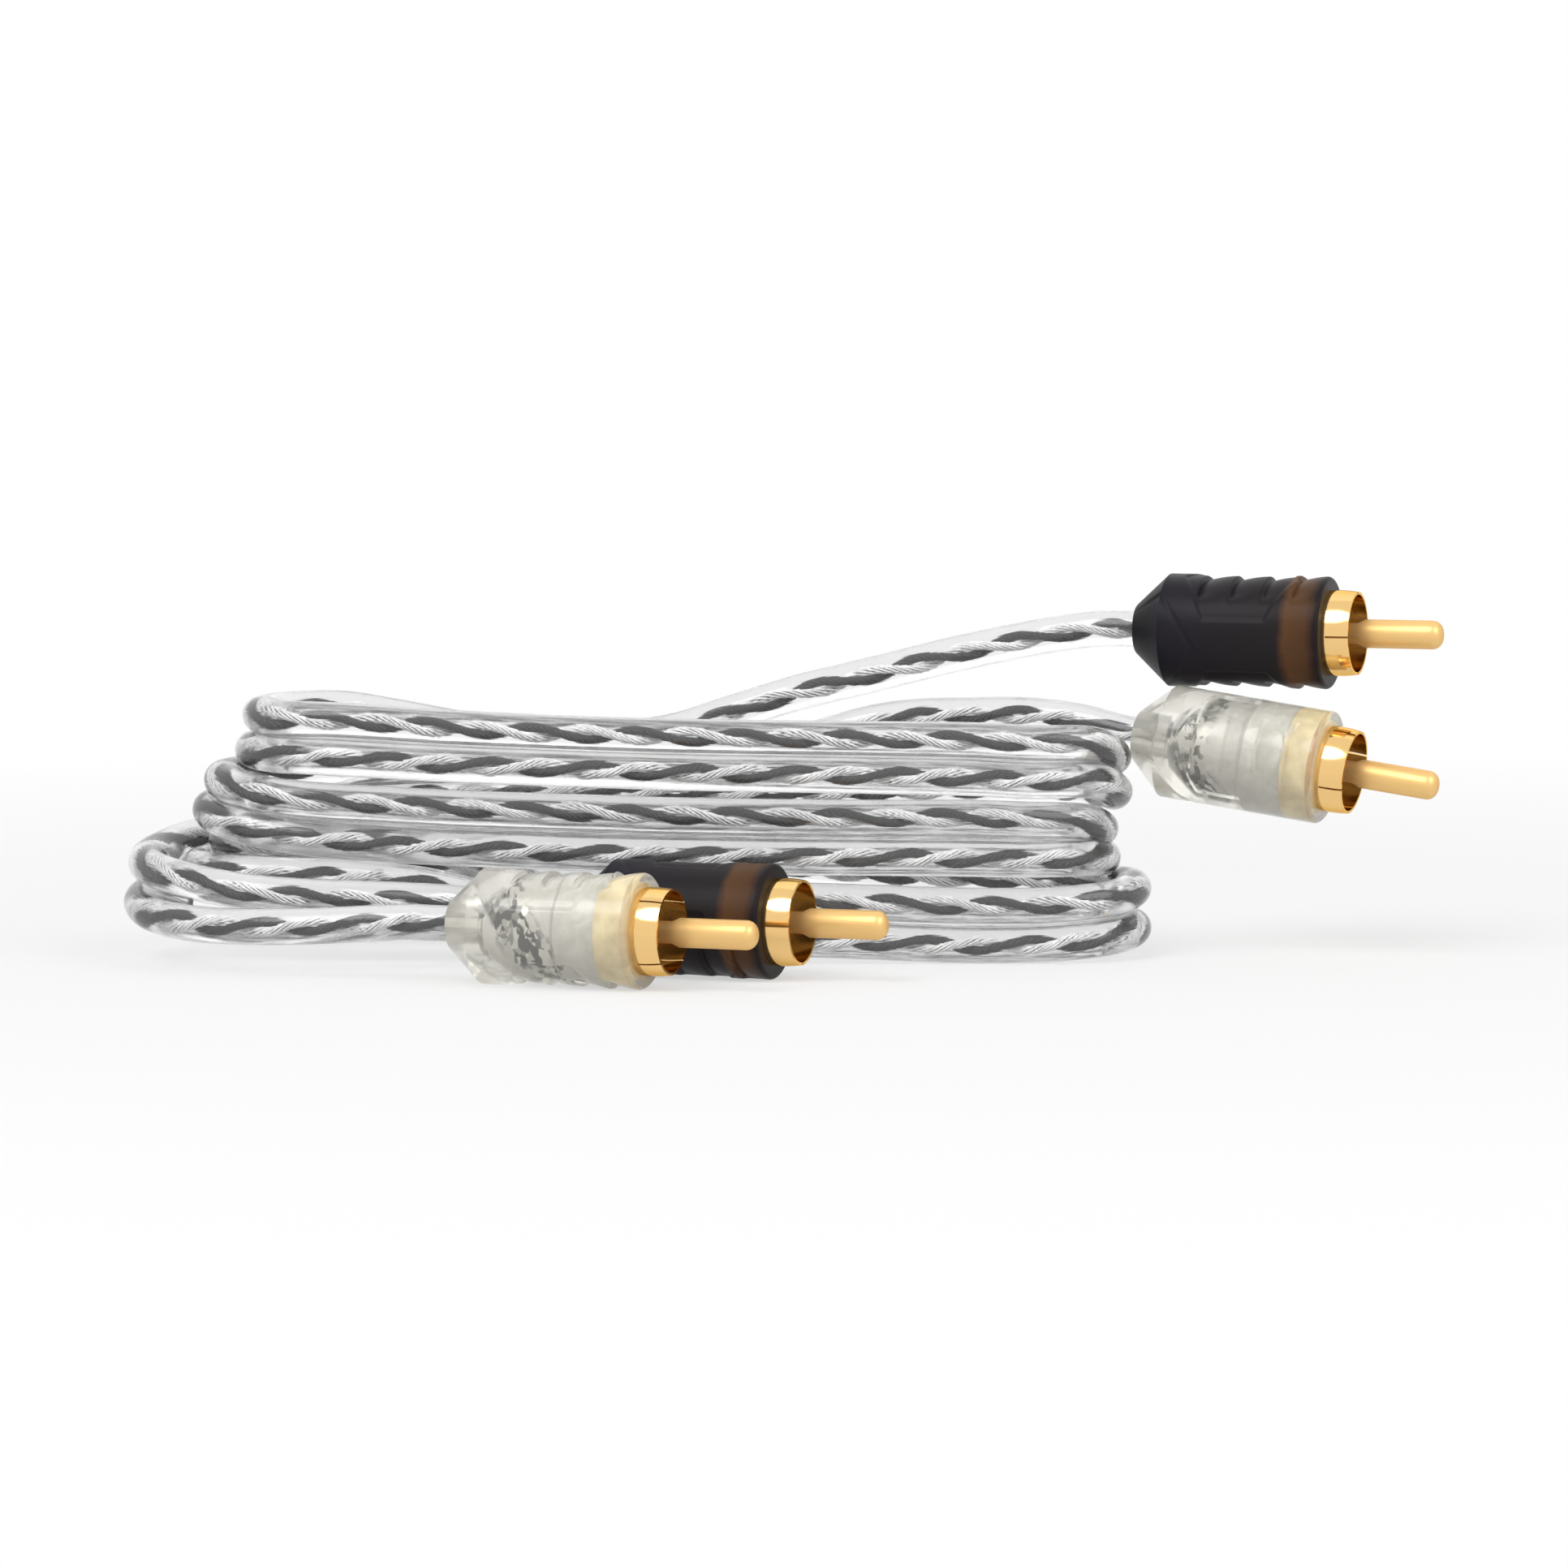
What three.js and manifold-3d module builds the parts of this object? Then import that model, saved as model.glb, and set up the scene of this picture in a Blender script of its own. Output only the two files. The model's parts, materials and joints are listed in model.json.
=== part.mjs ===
// A stereo audio cable: a clear twin lead wound in an oblong hank, with a moulded phono plug on
// each of its four ends. Millimetres, +Z up, the hank lying along X on the plane Z = 0.
import * as THREE from 'three';
import { mergeVertices } from 'three/addons/utils/BufferGeometryUtils.js';
import Module from 'manifold-3d';

const wasm = await Module();
wasm.setup();

// Twin lead
const JACKET_RADIUS = 2.0;
const JACKET_SIDES = 8;
const LEAD_STEP = 10;
const CORE_RADIUS = 0.65;

// Clearances
const GAP = 0.3;

const DEGREE = Math.PI / 180;

// Plug body, with lengths counted from the rear face
const BODY_LENGTH = 22.2;
const BODY_RADIUS = 6.3;
const REAR_RADIUS = 3.0;
const REAR_CONE_LENGTH = 3.8;
const FRONT_CHAMFER = 0.5;
const FRONT_WALL = 0.6;
const BODY_SEGMENTS = 32;

// Finger notches on two opposite sides of the body
const NOTCH_COUNT = 3;
const NOTCH_PITCH = 3.65;
const NOTCH_DEPTH = 0.6;
const NOTCH_RADIUS = 1.7;
const NOTCH_LAST_BEFORE_FRONT = 3.4;

// Ground shell: flange inside the body, slotted collar in front of it
const COLLAR_OUTSIDE_RADIUS = 4.62;
const COLLAR_BULGE = 0.16;
const COLLAR_WALL = 0.4;
const COLLAR_PROUD = 3.1;
const FLANGE_RADIUS = 5.2;
const FLANGE_LENGTH = 3.0;
const SLOT_WIDTH = 0.35;
const SLOT_COUNT = 4;
const SLOT_ROOT = 0.5;
const SHELL_SEGMENTS = 28;

// Centre pin
const PIN_RADIUS = 1.6;
const PIN_PROUD = 9.7;
const PIN_TIP_RADIUS = 1.2;
const PIN_NECK_RADIUS = 1.2;
const PIN_SHOULDER_LENGTH = 0.9;
const PIN_TAIL = 4.6;
const PIN_SEGMENTS = 16;

// Pieces moulded in behind the shell
const INSULATOR_LENGTH = 2.4;
const INSULATOR_RECESS = 4.7;
const MOULD_FRONT_RADIUS = 4.9;
const MOULD_FRONT_LENGTH = 4.6;
const MOULD_REAR_RADIUS = 3.9;
const MOULD_REAR_LENGTH = 8.6;
const INNER_SEGMENTS = 20;

// Hank: its lowest turn from end to end, the top of its highest, and how far out its runs lie
const HANK_LENGTH = 106.3;
const HANK_RIGHT = 26.1;
const HANK_HEIGHT = 29;
const RUN_OFFSET = 9;
const HANK_ARC_STEPS = 10;
const TIE_IN = 0.4;
const LEG_LEDGE_START = -23;
const LEG_LEDGE_DEPTH = 5.2;
const LEG_LEDGE_HEIGHT = 22.6;

// Each turn from the top down: how far its ends stop short of the lowest turn's, and its upper and
// lower outline as [share of its length from the left, share of the hank's height]
const HANK_LAYERS = [
  {
    shortLeft: 4.9,
    shortRight: 2.2,
    top: [[0, 1], [0.1, 1], [0.38, 0.95], [0.6, 0.93], [0.82, 0.925], [0.94, 0.905], [1, 0.84]],
    bottom: [[1, 0.565], [0.82, 0.635], [0.6, 0.65], [0.38, 0.675], [0.1, 0.72], [0, 0.725]],
  },
  {
    shortLeft: 0.8,
    shortRight: 3.5,
    top: [[0, 0.75], [0.14, 0.73], [0.41, 0.69], [0.62, 0.665], [0.84, 0.65], [1, 0.58]],
    bottom: [[1, 0.31], [0.84, 0.33], [0.62, 0.34], [0.41, 0.355], [0.18, 0.395], [0, 0.48]],
  },
  {
    shortLeft: 0,
    shortRight: 0,
    top: [[0, 0.51], [0.18, 0.47], [0.4, 0.395], [0.6, 0.355], [0.81, 0.345], [1, 0.34]],
    bottom: [[1, 0], [0.585, 0], [0.51, 0.02], [0.4, 0.125], [0.25, 0.25], [0, 0.29]],
  },
];

// Stretches of lead outside the hank, one list for each channel
const LEAD_ROUTES = {
  lead_top_smoke: [
    [-20.4, 9, 26.5], [-13.1, 9.6, 28.7], [-4.9, 10.8, 30.6], [5.4, 12.6, 33.0], [14.7, 13.5, 34.8],
    [20.2, 12.7, 35.6],
  ],
  lead_top_clear: [
    [-4.6, 9.2, 25.9], [0.4, 9.6, 26.0], [5.4, 10.0, 26.1], [12.8, 10.2, 26.1], [19.2, 8.9, 25.3],
  ],
  lead_loop_smoke: [
    [-42, 13.6, 12.2], [-52, 13.7, 13.0], [-62, 13.7, 13.4], [-72, 13.3, 13.3], [-80, 10.2, 12.6],
    [-84, 3, 11.7], [-85.2, -4, 11.0], [-83.6, -10.4, 10.5], [-79, -15.8, 9.7], [-73, -18.6, 8.9],
    [-66, -19.0, 8.4], [-58.6, -17.4, 8.0], [-52, -15.7, 7.5], [-46.4, -14.7, 6.9],
  ],
  lead_loop_clear: [
    [-42, 13.6, 7.85], [-52, 13.7, 8.6], [-62, 13.7, 8.9], [-72, 13.4, 8.7], [-80.2, 10.2, 8.0],
    [-84.6, 3, 7.2], [-85.7, -4.4, 6.6], [-84, -11.4, 5.9], [-79.5, -17.4, 5.4], [-74, -21.2, 5.4],
    [-67.5, -23.4, 5.6], [-60, -24.6, 6.0], [-55.6, -25.9, 6.3],
  ],
};

// Each plug: the lead that enters it, where its rear face is centred, and in degrees how it is turned:
// about Z, nose down, about its own axis, and its collar's slots about that axis
const PLUGS = {
  top_smoke: {
    finish: 'smoke', lead: 'lead_top_smoke', rear: [24.95, 11.2, 35.7],
    yaw: -18, down: 0, roll: 14, slots: -12,
  },
  top_clear: {
    finish: 'clear', lead: 'lead_top_clear', rear: [24.8, 6.8, 24.1],
    yaw: -20, down: 7.9, roll: 75, slots: -54,
  },
  front_clear: {
    finish: 'clear', lead: 'lead_loop_clear', rear: [-50.3, -28, BODY_RADIUS],
    yaw: -21, down: 0, roll: 4, slots: 38,
  },
  front_smoke: {
    finish: 'smoke', lead: 'lead_loop_smoke', rear: [-36.5, -17.6, BODY_RADIUS],
    yaw: -20, down: 0, roll: -40, slots: 40,
  },
};

const FINISHES = {
  smoke: { color: 0x2b2830, roughness: 0.4, metalness: 0, transparent: true, opacity: 0.92 },
  clear: { color: 0xd2d0c2, roughness: 0.35, metalness: 0, transparent: true, opacity: 0.55 },
  jacket: { color: 0xdfe1e4, roughness: 0.15, metalness: 0, transparent: true, opacity: 0.6 },
  mould: { color: 0xc9c9cb, roughness: 0.5, metalness: 0 },
  insulator: { color: 0x2e261c, roughness: 0.5, metalness: 0 },
  gold: { color: 0xe3b364, roughness: 0.22, metalness: 1 },
  darkCore: { color: 0x4a4a4c, roughness: 0.45, metalness: 0.6 },
  brightCore: { color: 0xc8cacd, roughness: 0.3, metalness: 0.9 },
};

function finish(name) {
  return new THREE.MeshStandardMaterial(FINISHES[name]);
}

function named(name, geometry, finishName) {
  const mesh = new THREE.Mesh(geometry, finish(finishName));
  mesh.name = name;
  return mesh;
}

// A closed solid for cutting and joining, from a three.js geometry
function solid(geometry) {
  const bare = geometry.clone();
  bare.deleteAttribute('normal');
  bare.deleteAttribute('uv');
  const merged = mergeVertices(bare);
  const corners = merged.index.array;
  const kept = [];
  for (let i = 0; i < corners.length; i += 3) {
    const [a, b, c] = [corners[i], corners[i + 1], corners[i + 2]];
    if (a !== b && b !== c && c !== a) kept.push(a, b, c);
  }
  return new wasm.Manifold(new wasm.Mesh({
    numProp: 3,
    vertProperties: new Float32Array(merged.attributes.position.array),
    triVerts: new Uint32Array(kept),
  }));
}

function geometryOf(manifold) {
  const mesh = manifold.getMesh();
  const geometry = new THREE.BufferGeometry();
  geometry.setAttribute('position', new THREE.BufferAttribute(mesh.vertProperties, 3));
  geometry.setIndex(new THREE.BufferAttribute(mesh.triVerts, 1));
  geometry.computeVertexNormals();
  return geometry;
}

// A piece turned about X, from an outline of [radius, distance along X] that closes on itself
function turned(outline, segments) {
  const points = [...outline, outline[0]].map(([radius, along]) => new THREE.Vector2(radius, along));
  return new THREE.LatheGeometry(points, segments).rotateZ(-Math.PI / 2);
}

// Places along the plug that several of its pieces share
const collarRim = BODY_LENGTH + COLLAR_PROUD;
const flangeFront = BODY_LENGTH - FRONT_WALL - GAP;
const flangeBack = flangeFront - FLANGE_LENGTH;
const insulatorFront = collarRim - INSULATOR_RECESS;
const insulatorBack = insulatorFront - INSULATOR_LENGTH;
const mouldFront = Math.min(flangeBack, insulatorBack) - GAP;
const mouldStep = mouldFront - MOULD_FRONT_LENGTH;
const mouldBack = mouldStep - MOULD_REAR_LENGTH;
const pinTip = collarRim + PIN_PROUD;
const pinTail = mouldFront - PIN_TAIL;
const coreBoreRadius = PIN_RADIUS + GAP;
const cableHoleRadius = JACKET_RADIUS + GAP;

function notchCutter(along, side) {
  const width = 4 * BODY_RADIUS;
  const cutter = new THREE.CylinderGeometry(NOTCH_RADIUS, NOTCH_RADIUS, width, INNER_SEGMENTS);
  return cutter.translate(along, 0, side * (BODY_RADIUS + NOTCH_RADIUS - NOTCH_DEPTH));
}

// The grip: a cone behind, a round barrel with notches, and a stepped bore for what it holds
function bodyGeometry() {
  const outline = [
    [cableHoleRadius, 0],
    [REAR_RADIUS, 0],
    [BODY_RADIUS, REAR_CONE_LENGTH],
    [BODY_RADIUS, BODY_LENGTH - FRONT_CHAMFER],
    [BODY_RADIUS - FRONT_CHAMFER, BODY_LENGTH],
    [COLLAR_OUTSIDE_RADIUS + COLLAR_BULGE + GAP, BODY_LENGTH],
    [COLLAR_OUTSIDE_RADIUS + COLLAR_BULGE + GAP, BODY_LENGTH - FRONT_WALL],
    [FLANGE_RADIUS + GAP, BODY_LENGTH - FRONT_WALL],
    [FLANGE_RADIUS + GAP, flangeBack - GAP],
    [MOULD_FRONT_RADIUS + GAP, flangeBack - GAP],
    [MOULD_FRONT_RADIUS + GAP, mouldStep - GAP],
    [MOULD_REAR_RADIUS + GAP, mouldStep - GAP],
    [MOULD_REAR_RADIUS + GAP, mouldBack - GAP],
    [cableHoleRadius, mouldBack - GAP],
  ];
  let body = solid(turned(outline, BODY_SEGMENTS));
  for (const side of [1, -1]) {
    for (let i = 0; i < NOTCH_COUNT; i += 1) {
      const along = BODY_LENGTH - NOTCH_LAST_BEFORE_FRONT - i * NOTCH_PITCH;
      body = body.subtract(solid(notchCutter(along, side)));
    }
  }
  return geometryOf(body);
}

// The collar with its flange, slotted from the rim back
function shellGeometry(slotTurn) {
  const bulge = COLLAR_OUTSIDE_RADIUS + COLLAR_BULGE;
  const middle = BODY_LENGTH + COLLAR_PROUD / 2;
  const outline = [
    [COLLAR_OUTSIDE_RADIUS - COLLAR_WALL, flangeBack],
    [FLANGE_RADIUS, flangeBack],
    [FLANGE_RADIUS, flangeFront],
    [COLLAR_OUTSIDE_RADIUS, flangeFront],
    [bulge, middle],
    [COLLAR_OUTSIDE_RADIUS, collarRim],
    [COLLAR_OUTSIDE_RADIUS - COLLAR_WALL, collarRim],
    [bulge - COLLAR_WALL, middle],
    [COLLAR_OUTSIDE_RADIUS - COLLAR_WALL, flangeFront],
  ];
  let shell = solid(turned(outline, SHELL_SEGMENTS));
  const slotLength = 2 * COLLAR_PROUD;
  for (let i = 0; i < SLOT_COUNT / 2; i += 1) {
    const cutter = new THREE.BoxGeometry(slotLength, SLOT_WIDTH, 4 * bulge);
    cutter.translate(BODY_LENGTH + SLOT_ROOT + slotLength / 2, 0, 0);
    cutter.rotateX(slotTurn * DEGREE + (i * 2 * Math.PI) / SLOT_COUNT);
    shell = shell.subtract(solid(cutter));
  }
  return geometryOf(shell);
}

function pinGeometry() {
  const tipFlat = PIN_RADIUS - PIN_TIP_RADIUS;
  const neckFront = collarRim;
  const neckBack = insulatorFront + GAP;
  const outline = [
    [0, pinTail],
    [PIN_RADIUS, pinTail],
    [PIN_RADIUS, neckBack],
    [PIN_NECK_RADIUS, neckBack],
    [PIN_NECK_RADIUS, neckFront],
    [PIN_RADIUS, neckFront + PIN_SHOULDER_LENGTH],
  ];
  for (const turn of [0, 30, 60, 90]) {
    outline.push([
      tipFlat + PIN_TIP_RADIUS * Math.cos(turn * DEGREE),
      pinTip - PIN_TIP_RADIUS + PIN_TIP_RADIUS * Math.sin(turn * DEGREE),
    ]);
  }
  outline.push([0, pinTip]);
  return turned(outline, PIN_SEGMENTS);
}

function insulatorGeometry() {
  const outside = COLLAR_OUTSIDE_RADIUS - COLLAR_WALL - GAP;
  return turned([
    [coreBoreRadius, insulatorBack],
    [outside, insulatorBack],
    [outside, insulatorFront],
    [coreBoreRadius, insulatorFront],
  ], INNER_SEGMENTS);
}

function innerMouldGeometry() {
  return turned([
    [coreBoreRadius, mouldBack],
    [MOULD_REAR_RADIUS, mouldBack],
    [MOULD_REAR_RADIUS, mouldStep],
    [MOULD_FRONT_RADIUS, mouldStep],
    [MOULD_FRONT_RADIUS, mouldFront],
    [coreBoreRadius, mouldFront],
  ], INNER_SEGMENTS);
}

// A conductor end inside the plug, beside the plug's axis
function coreGeometry(end, side) {
  const length = end - GAP;
  const core = new THREE.CylinderGeometry(CORE_RADIUS, CORE_RADIUS, length, JACKET_SIDES);
  return core.rotateZ(-Math.PI / 2).translate(GAP + length / 2, side * (CORE_RADIUS + GAP / 2), 0);
}

function plug(name, { finish: finishName, rear, yaw, down, roll, slots }) {
  const group = new THREE.Group();
  group.add(named(`${name}_body`, bodyGeometry(), finishName));
  group.add(named(`${name}_inner_mould`, innerMouldGeometry(), 'mould'));
  group.add(named(`${name}_ground_shell`, shellGeometry(slots), 'gold'));
  group.add(named(`${name}_insulator`, insulatorGeometry(), 'insulator'));
  group.add(named(`${name}_pin`, pinGeometry(), 'gold'));
  group.add(named(`${name}_signal_core`, coreGeometry(pinTail - GAP, 1), 'darkCore'));
  group.add(named(`${name}_ground_core`, coreGeometry(mouldBack - GAP, -1), 'brightCore'));
  group.position.set(...rear);
  group.rotation.set(roll * DEGREE, down * DEGREE, yaw * DEGREE, 'ZYX');
  return group;
}

// A lead's end point: on the plug's axis, just behind its rear face
function behindPlug({ rear, yaw, down }, distance) {
  const back = new THREE.Vector3(-distance, 0, 0);
  back.applyEuler(new THREE.Euler(0, down * DEGREE, yaw * DEGREE, 'ZYX'));
  return back.add(new THREE.Vector3(...rear));
}

// One channel's jacket along its route, ending square to the plug's rear face
function leadGeometry(route, plugPlace) {
  const straightEnd = GAP + 2 * JACKET_RADIUS;
  const points = route.map((point) => new THREE.Vector3(...point));
  points.push(behindPlug(plugPlace, straightEnd), behindPlug(plugPlace, GAP));
  const path = new THREE.CatmullRomCurve3(points, false, 'centripetal');
  const section = new THREE.Shape();
  for (let i = 0; i < JACKET_SIDES; i += 1) {
    const turn = ((i + 0.5) * 2 * Math.PI) / JACKET_SIDES;
    const corner = [JACKET_RADIUS * Math.cos(turn), JACKET_RADIUS * Math.sin(turn)];
    if (i === 0) section.moveTo(...corner);
    else section.lineTo(...corner);
  }
  const steps = Math.ceil(path.getLength() / LEAD_STEP);
  return new THREE.ExtrudeGeometry(section, { extrudePath: path, steps, bevelEnabled: false });
}

// One turn of the hank: its plan outline with round ends, cut to its side outline
function layerSolid({ shortLeft, shortRight, top, bottom }) {
  const radius = RUN_OFFSET + JACKET_RADIUS;
  const left = HANK_RIGHT - HANK_LENGTH + shortLeft;
  const right = HANK_RIGHT - shortRight;
  const plan = new THREE.Shape();
  plan.absarc(right - radius, 0, radius, -Math.PI / 2, Math.PI / 2, false);
  plan.absarc(left + radius, 0, radius, Math.PI / 2, (3 * Math.PI) / 2, false);
  const column = new THREE.ExtrudeGeometry(plan, {
    depth: HANK_HEIGHT + 2 * TIE_IN, curveSegments: HANK_ARC_STEPS, bevelEnabled: false,
  });
  column.translate(0, 0, -TIE_IN);
  const side = new THREE.Shape([...top, ...bottom].map(([along, up]) => (
    new THREE.Vector2(left + along * (right - left), up * HANK_HEIGHT)
  )));
  const slab = new THREE.ExtrudeGeometry(side, { depth: 4 * radius, bevelEnabled: false });
  slab.rotateX(Math.PI / 2).translate(0, 2 * radius, 0);
  return solid(column).intersect(solid(slab));
}

// The wound lead as one block, with a ledge behind where the two legs climb away
function hankGeometry() {
  let hank = layerSolid(HANK_LAYERS[0]);
  for (const layer of HANK_LAYERS.slice(1)) hank = hank.add(layerSolid(layer));
  const radius = RUN_OFFSET + JACKET_RADIUS;
  const reach = HANK_RIGHT + radius - LEG_LEDGE_START;
  const ledge = new THREE.BoxGeometry(reach, 2 * radius, 2 * radius);
  ledge.translate(LEG_LEDGE_START + reach / 2, LEG_LEDGE_DEPTH + radius, LEG_LEDGE_HEIGHT + radius);
  return geometryOf(hank.subtract(solid(ledge)));
}

const cable = new THREE.Group();
cable.name = 'audio_cable';
cable.add(named('hank', hankGeometry(), 'jacket'));
for (const [name, place] of Object.entries(PLUGS)) {
  cable.add(plug(name, place));
  cable.add(named(place.lead, leadGeometry(LEAD_ROUTES[place.lead], place), 'jacket'));
}

export default cable;
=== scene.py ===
import json
import math

import bmesh
import bpy
from mathutils import Matrix, Vector


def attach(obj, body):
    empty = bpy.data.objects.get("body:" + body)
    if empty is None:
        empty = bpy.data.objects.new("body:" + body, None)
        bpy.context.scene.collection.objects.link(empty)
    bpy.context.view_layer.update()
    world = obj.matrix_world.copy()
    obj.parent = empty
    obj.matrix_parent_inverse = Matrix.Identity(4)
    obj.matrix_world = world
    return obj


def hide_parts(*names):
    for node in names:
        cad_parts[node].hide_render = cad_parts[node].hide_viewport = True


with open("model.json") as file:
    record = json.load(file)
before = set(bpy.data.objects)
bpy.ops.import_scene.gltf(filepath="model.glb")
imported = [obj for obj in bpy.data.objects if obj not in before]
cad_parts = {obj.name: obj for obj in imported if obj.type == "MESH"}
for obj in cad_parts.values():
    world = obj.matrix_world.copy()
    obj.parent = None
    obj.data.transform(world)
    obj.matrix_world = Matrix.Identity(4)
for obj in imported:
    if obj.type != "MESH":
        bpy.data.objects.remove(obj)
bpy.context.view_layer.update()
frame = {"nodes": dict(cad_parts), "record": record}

# Twin lead, in metres
JACKET_RADIUS = 0.0020
STRAND_SPACING = 0.0042
INSIDE_PLUG = 0.004
OUT_OF_PLUG = 0.0022
ROUTE_STEP = 0.001
STEPS_IN_SPAN = 24
JACKET_SIDES = 32

# The dark and the bright conductor, wound round each other
LAY_PITCH = 0.0112
LAY_RADIUS = 0.00039
LAY_STEP = 0.0006
DARK_RADIUS = 0.00036
DARK_SIDES = 12
DARK_WIRES_SEEN = 7
DARK_WIRE_TURNS = 2.4

# The bright conductor's fine wires, wound round a middle one that is drawn dark as painted shade,
# and straying a little
WIRES = 7
WIRE_RADIUS = 0.000105
WIRE_SIDES = 5
WIRE_RING_RADIUS = 0.00028
WIRE_PITCH = 0.0065
WIRE_STRAY = 0.00004
WIRE_STRAY_PITCH = 0.0073
MIDDLE_SHADE_WIRE_RADIUS = 0.0002
MIDDLE_SHADE_WIRE_SIDES = 6

# Camera, at the viewing angle estimated from the photograph
CAMERA_TARGET = Vector((-0.014755, 0, 0.0192))
CAMERA_DISTANCE = 1.0
CAMERA_ELEVATION = math.radians(4.65)
CAMERA_LENS = 207.1

camera = bpy.data.objects.new("camera", bpy.data.cameras.new("camera"))
bpy.context.scene.collection.objects.link(camera)
bpy.context.scene.camera = camera
back = Vector((0, -math.cos(CAMERA_ELEVATION), math.sin(CAMERA_ELEVATION)))
camera.location = CAMERA_TARGET + back * CAMERA_DISTANCE
camera.rotation_euler = (math.pi / 2 - CAMERA_ELEVATION, 0, 0)
camera.data.lens = CAMERA_LENS
camera.data.clip_end = 20


# Plug places, from the frame

BODY_LENGTH = 0.0222
PLUGS = ("top_smoke", "top_clear", "front_clear", "front_smoke")


def middle_across(node, axis, side):
    """How far the middle of a node lies along side; axis is not used."""
    reach = [side.dot(node.matrix_world @ v.co) for v in node.data.vertices]
    return (min(reach) + max(reach)) / 2


def plug_matrix(name):
    """The plug's own frame: origin at the middle of its rear face, X towards its pin."""
    nose = next(m for m in frame["record"]["mounts"] if m["name"] == f"{name}_nose")
    point = Vector(nose["pos_m"])
    axis = Vector(nose["axis"]).normalized()
    across = axis.orthogonal().normalized()
    up = axis.cross(across)
    pin = frame["nodes"][f"{name}_pin"]
    centre = across * middle_across(pin, axis, across) + up * middle_across(pin, axis, up)
    centre += axis * (point.dot(axis) - BODY_LENGTH)
    side = point - centre
    side = (side - axis * side.dot(axis)).normalized()
    turn = Matrix((axis, side, axis.cross(side))).transposed().to_4x4()
    return Matrix.Translation(centre) @ turn


plug_places = {name: plug_matrix(name) for name in PLUGS}


# Cord routes

# Lead from each top plug to the hank, from the plug end
TOP_SMOKE = [
    (0.0202, 0.0127, 0.0356), (0.0147, 0.0135, 0.0348), (0.0054, 0.0126, 0.0330),
    (-0.0049, 0.0108, 0.0306), (-0.0131, 0.0096, 0.0287), (-0.0204, 0.0090, 0.0265),
]
TOP_CLEAR = [
    (0.0192, 0.0089, 0.0253), (0.0128, 0.0102, 0.0261), (0.0054, 0.0100, 0.0261),
    (0.0004, 0.0096, 0.0260), (-0.0046, 0.0092, 0.0254), (-0.0125, 0.0092, 0.0232),
    (-0.0195, 0.0098, 0.0216),
]

# Runs of the hank: x and y of the pair, then the heights of the smoke and the clear channel
RUNS = [
    [
        (-0.0265, 0.0090, 0.0246, 0.0208), (-0.0315, 0.0090, 0.0238, 0.0203),
        (-0.0380, 0.0090, 0.0235, 0.0202), (-0.0450, 0.0090, 0.0239, 0.0206),
        (-0.0510, 0.0090, 0.0248, 0.0213), (-0.0575, 0.0090, 0.0260, 0.0223),
        (-0.0642, 0.0090, 0.0270, 0.0231),
    ],
    [
        (-0.0642, -0.0090, 0.0269, 0.0229), (-0.0520, -0.0090, 0.0261, 0.0222),
        (-0.0385, -0.0090, 0.0254, 0.0217), (-0.0270, -0.0090, 0.0251, 0.0213),
        (-0.0160, -0.0090, 0.0249, 0.0211), (-0.0050, -0.0090, 0.0248, 0.0209),
        (0.0060, -0.0090, 0.0247, 0.02065), (0.01285, -0.0090, 0.0244, 0.0203),
    ],
    [
        (0.01285, 0.0090, 0.0220, 0.0179), (0.0020, 0.0074, 0.0220, 0.0179),
        (-0.0100, 0.0052, 0.0219, 0.0178), (-0.0230, 0.0042, 0.0219, 0.0178),
        (-0.0400, 0.0042, 0.0218, 0.0178), (-0.0560, 0.0056, 0.0212, 0.0175),
        (-0.0684, 0.0090, 0.0202, 0.0168),
    ],
    [
        (-0.0684, -0.0096, 0.0184, 0.0142), (-0.0580, -0.0096, 0.0177, 0.0133),
        (-0.0480, -0.0095, 0.0172, 0.0128), (-0.0385, -0.0094, 0.0169, 0.0124),
        (-0.0270, -0.0092, 0.0165, 0.0121), (-0.0160, -0.0090, 0.0163, 0.0119),
        (-0.0050, -0.0090, 0.0162, 0.0118), (0.0060, -0.0090, 0.0162, 0.0117),
        (0.0115, -0.0090, 0.0160, 0.0116),
    ],
    [
        (0.0115, 0.0090, 0.0141, 0.0104), (0.0000, 0.0076, 0.0142, 0.0103),
        (-0.0150, 0.0070, 0.0143, 0.0103), (-0.0300, 0.0070, 0.0143, 0.0103),
        (-0.0450, 0.0071, 0.0142, 0.0103), (-0.0580, 0.0074, 0.0140, 0.0102),
        (-0.0704, 0.0080, 0.0138, 0.0102),
    ],
    [
        (-0.0704, -0.0075, 0.0129, 0.0099), (-0.0640, -0.0076, 0.0126, 0.0097),
        (-0.0540, -0.0080, 0.0113, 0.0088), (-0.0460, -0.0085, 0.0099, 0.0069),
        (-0.0385, -0.0090, 0.0087, 0.0049), (-0.0280, -0.0090, 0.0079, 0.0037),
        (-0.0180, -0.0090, 0.0073, 0.0030), (-0.0070, -0.0090, 0.0069, 0.0026),
        (0.0060, -0.0090, 0.0065, 0.0021), (0.01505, -0.0090, 0.0066, 0.0023),
    ],
    [
        (0.01505, 0.0090, 0.0076, 0.0033), (0.0050, 0.0098, 0.0078, 0.0035),
        (-0.0080, 0.0110, 0.0084, 0.0041), (-0.0200, 0.0122, 0.0095, 0.0052),
        (-0.0310, 0.0131, 0.0108, 0.0065),
    ],
]

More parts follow.
